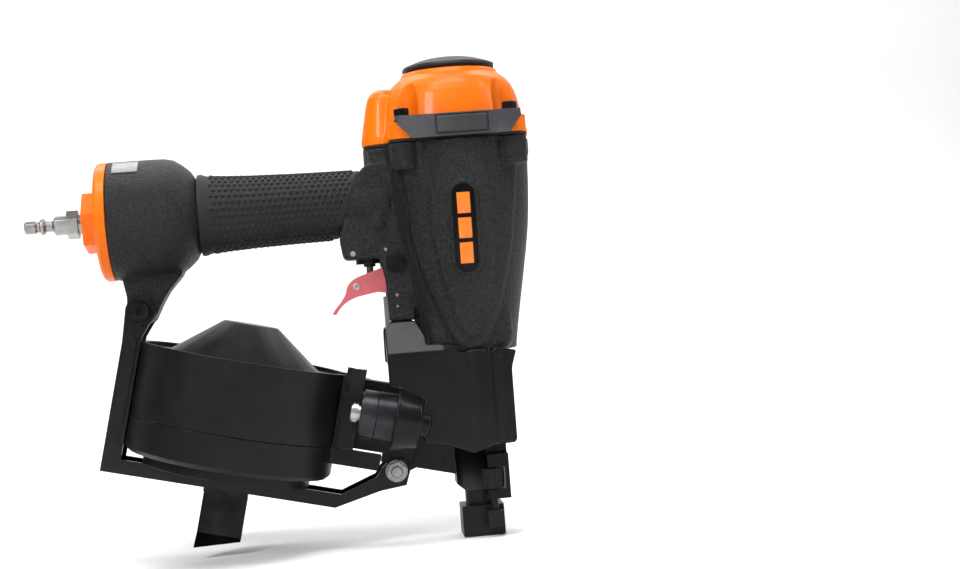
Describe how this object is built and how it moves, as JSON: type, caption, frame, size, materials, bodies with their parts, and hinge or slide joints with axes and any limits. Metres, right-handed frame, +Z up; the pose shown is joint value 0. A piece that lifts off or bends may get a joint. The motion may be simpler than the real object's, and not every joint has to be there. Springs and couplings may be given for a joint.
{
  "type": "coil roofing nail gun",
  "caption": "Compressed-air nail gun with an upright barrel, handle, round tilted magazine, hooked trigger and sliding contact foot.",
  "frame": {"origin": "under the middle of the whole tool, in the plane of the contact foot's lower face", "axes": "+Z up the driver's axis, +X away from the user along the handle, +Y to the user's left"},
  "size_m": [0.2852, 0.116, 0.2711],
  "materials": {
    "cast_black": "textured black powder coat",
    "orange_paint": "gloss",
    "rubber": "matt",
    "black_plastic": "semi-gloss moulded",
    "magazine_plastic": "satin moulded",
    "polymer": "satin",
    "red_plastic": "satin moulded",
    "black_steel": "black oxide",
    "dark_steel": "dark satin",
    "bright_steel": "bright plated",
    "spring_steel": "drawn wire",
    "aluminium": "machined"
  },
  "bodies": {
    "tool": {"housing": "cast_black", "cylinder_sleeve": "aluminium", "bumper": "rubber", "cap_gasket": "rubber", "cylinder_cap": "orange_paint", "head_valve_spring": "spring_steel", "deflector_screw": "black_steel", "side_guard_right": "dark_steel", "side_guard_left": "dark_steel", "guard_pad_right": "rubber", "guard_pad_left": "rubber", "cap_bolt_1": "black_steel", "cap_bolt_2": "black_steel", "cap_bolt_3": "black_steel", "cap_bolt_4": "black_steel", "grip_sleeve": "rubber", "end_cap": "orange_paint", "end_cap_seal": "rubber", "air_plug": "bright_steel", "trigger_pin": "black_steel", "trigger_valve_body": "polymer", "plunger_spring": "spring_steel", "valve_roll_pin": "bright_steel", "nose_body": "black_steel", "nose_screw_1": "dark_steel", "nose_screw_2": "dark_steel", "nose_screw_3": "dark_steel", "nose_screw_4": "dark_steel", "contact_spring": "spring_steel", "nose_cover": "black_plastic", "nail_guide": "black_steel", "frame_bolt": "bright_steel", "frame_nut": "bright_steel", "frame_bracket": "black_steel", "bracket_screw": "dark_steel", "magazine_cup": "magazine_plastic", "hinge_pin": "bright_steel", "door_pin": "bright_steel", "feeder_cylinder": "black_steel", "feeder_cap": "cast_black", "feed_spring": "spring_steel"},
    "deflector": {"exhaust_deflector": "black_plastic"},
    "driver": {"piston": "aluminium", "piston_ring": "rubber", "driver_blade": "bright_steel"},
    "head_valve": {"head_valve": "polymer"},
    "trigger": {"trigger": "red_plastic", "tongue_pin": "bright_steel"},
    "tongue": {"trigger_tongue": "dark_steel"},
    "plunger": {"valve_plunger": "bright_steel"},
    "contact_arm": {"contact_arm": "black_steel"},
    "contact_foot": {"contact_foot": "black_steel"},
    "depth_wheel": {"depth_wheel": "dark_steel"},
    "feed_piston": {"feed_piston": "bright_steel"},
    "magazine_cover": {"magazine_cover": "magazine_plastic"},
    "nail_platform": {"nail_platform": "polymer"},
    "guide_door": {"guide_door": "black_steel"},
    "door_latch": {"door_latch": "dark_steel"},
    "shingle_guide": {"shingle_guide": "black_steel", "guide_screw": "dark_steel"}
  },
  "joints": [
    {"name": "deflector_turn", "type": "hinge", "parent": "tool", "child": "deflector", "pos_m": [0.10005, 0, 0.268], "axis": [0, 0, 1], "continuous": true},
    {"name": "driver_stroke", "type": "slide", "parent": "tool", "child": "driver", "axis": [0, 0, -1], "range_m": [0, 0.069]},
    {"name": "head_valve_lift", "type": "slide", "parent": "tool", "child": "head_valve", "axis": [0, 0, 1], "range_m": [0, 0.005], "stiffness_N_per_m": 900, "springref_m": -0.006, "deforming": ["head_valve_spring"]},
    {"name": "trigger_pull", "type": "hinge", "parent": "tool", "child": "trigger", "pos_m": [0.06155, 0, 0.1565], "axis": [0, 1, 0], "range_deg": [0, 9], "stiffness_Nm_per_rad": 0.5, "springref_deg": -17.19},
    {"name": "tongue_swing", "type": "hinge", "parent": "trigger", "child": "tongue", "pos_m": [0.03865, 0, 0.1453], "axis": [0, 1, 0], "range_deg": [0, 4], "stiffness_Nm_per_rad": 0.02, "springref_deg": -17.19},
    {"name": "plunger_slide", "type": "slide", "parent": "tool", "child": "plunger", "axis": [0, 0, 1], "range_m": [0, 0.00275], "deforming": ["plunger_spring"]},
    {"name": "contact_lift", "type": "slide", "parent": "tool", "child": "contact_arm", "axis": [0, 0, 1], "range_m": [0, 0.006], "stiffness_N_per_m": 1500, "springref_m": -0.016, "deforming": ["contact_spring"]},
    {"name": "foot_adjust", "type": "slide", "parent": "contact_arm", "child": "contact_foot", "axis": [0, 0, 1], "range_m": [0, 0.002]},
    {"name": "depth_turn", "type": "hinge", "parent": "contact_arm", "child": "depth_wheel", "pos_m": [0.10655, -0.0166, 0.0325], "axis": [0, 0, 1], "range_deg": [0, 720]},
    {"name": "feed_stroke", "type": "slide", "parent": "tool", "child": "feed_piston", "axis": [-0.9703, 0, 0.2419], "range_m": [0, 0.006], "stiffness_N_per_m": 500, "springref_m": -0.012, "deforming": ["feed_spring"]},
    {"name": "cover_swing", "type": "hinge", "parent": "tool", "child": "magazine_cover", "pos_m": [-0.09007, 0.0168, 0.10547], "axis": [0.2419, 0, 0.9703], "range_deg": [0, 95]},
    {"name": "platform_height", "type": "slide", "parent": "tool", "child": "nail_platform", "axis": [0.2419, 0, 0.9703], "range_m": [0, 0.011]},
    {"name": "door_swing", "type": "hinge", "parent": "tool", "child": "guide_door", "pos_m": [0.03694, 0.0112, 0.07174], "axis": [0.2419, 0, 0.9703], "range_deg": [0, 90]},
    {"name": "latch_swing", "type": "hinge", "parent": "guide_door", "child": "door_latch", "pos_m": [0.07522, 0.0124, 0.05498], "axis": [0.2419, 0, 0.9703], "range_deg": [0, 40], "stiffness_Nm_per_rad": 0.05, "springref_deg": -17.19},
    {"name": "guide_slide", "type": "slide", "parent": "tool", "child": "shingle_guide", "axis": [0.9703, 0, -0.2419], "range_m": [-0.013, 0.013]}
  ],
  "couplings": [
    {"joint": "trigger_pull", "follows": "plunger_slide", "rad_per_m": 57.119},
    {"joint": "depth_turn", "follows": "foot_adjust", "rad_per_m": 6283.2}
  ]
}
